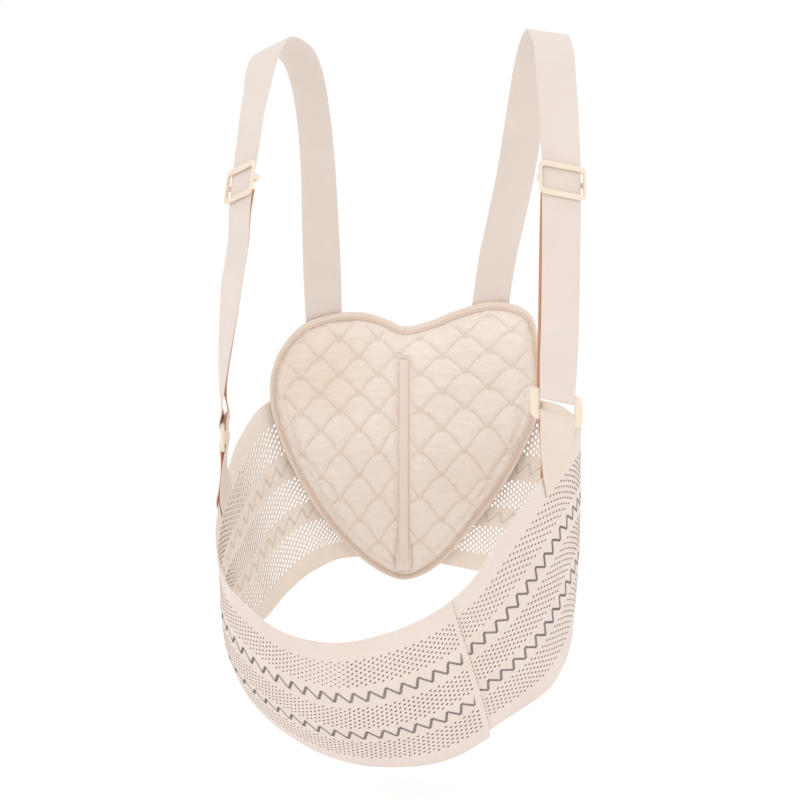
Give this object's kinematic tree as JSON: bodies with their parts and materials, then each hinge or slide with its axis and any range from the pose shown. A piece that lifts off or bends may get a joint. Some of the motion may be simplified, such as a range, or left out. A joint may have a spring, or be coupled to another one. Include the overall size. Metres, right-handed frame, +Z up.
{
  "type": "maternity support belt",
  "caption": "Stretch belly band whose wings lap at the front, with a quilted heart-shaped back pad and adjustable shoulder straps.",
  "frame": {"origin": "middle of the shoulder line, between the tops of the two straps", "axes": "+Z up, -Y towards the wearer's front, +X towards the viewer's right"},
  "size_m": [0.379, 0.2999, 0.7386],
  "materials": {
    "belt_knit": "elastic knit with mesh bands and grey zigzag stitches",
    "pad_cotton": "quilted peach cotton",
    "binding_tape": "ribbed binding tape with double stitching",
    "strap_webbing": "soft elastic webbing",
    "tab_webbing": "cross-ribbed webbing",
    "buckle_plastic": "smooth cream plastic"
  },
  "bodies": {
    "root": {"wing_left": "belt_knit", "wing_right": "belt_knit", "back_pad": "pad_cotton", "pad_binding": "binding_tape", "bone_channel": "binding_tape", "strap_left": "strap_webbing", "strap_right": "strap_webbing", "tab_left": "tab_webbing", "tab_right": "tab_webbing", "slider_left": "buckle_plastic", "slider_right": "buckle_plastic", "ring_left": "buckle_plastic", "ring_right": "buckle_plastic"}
  },
  "joints": []
}
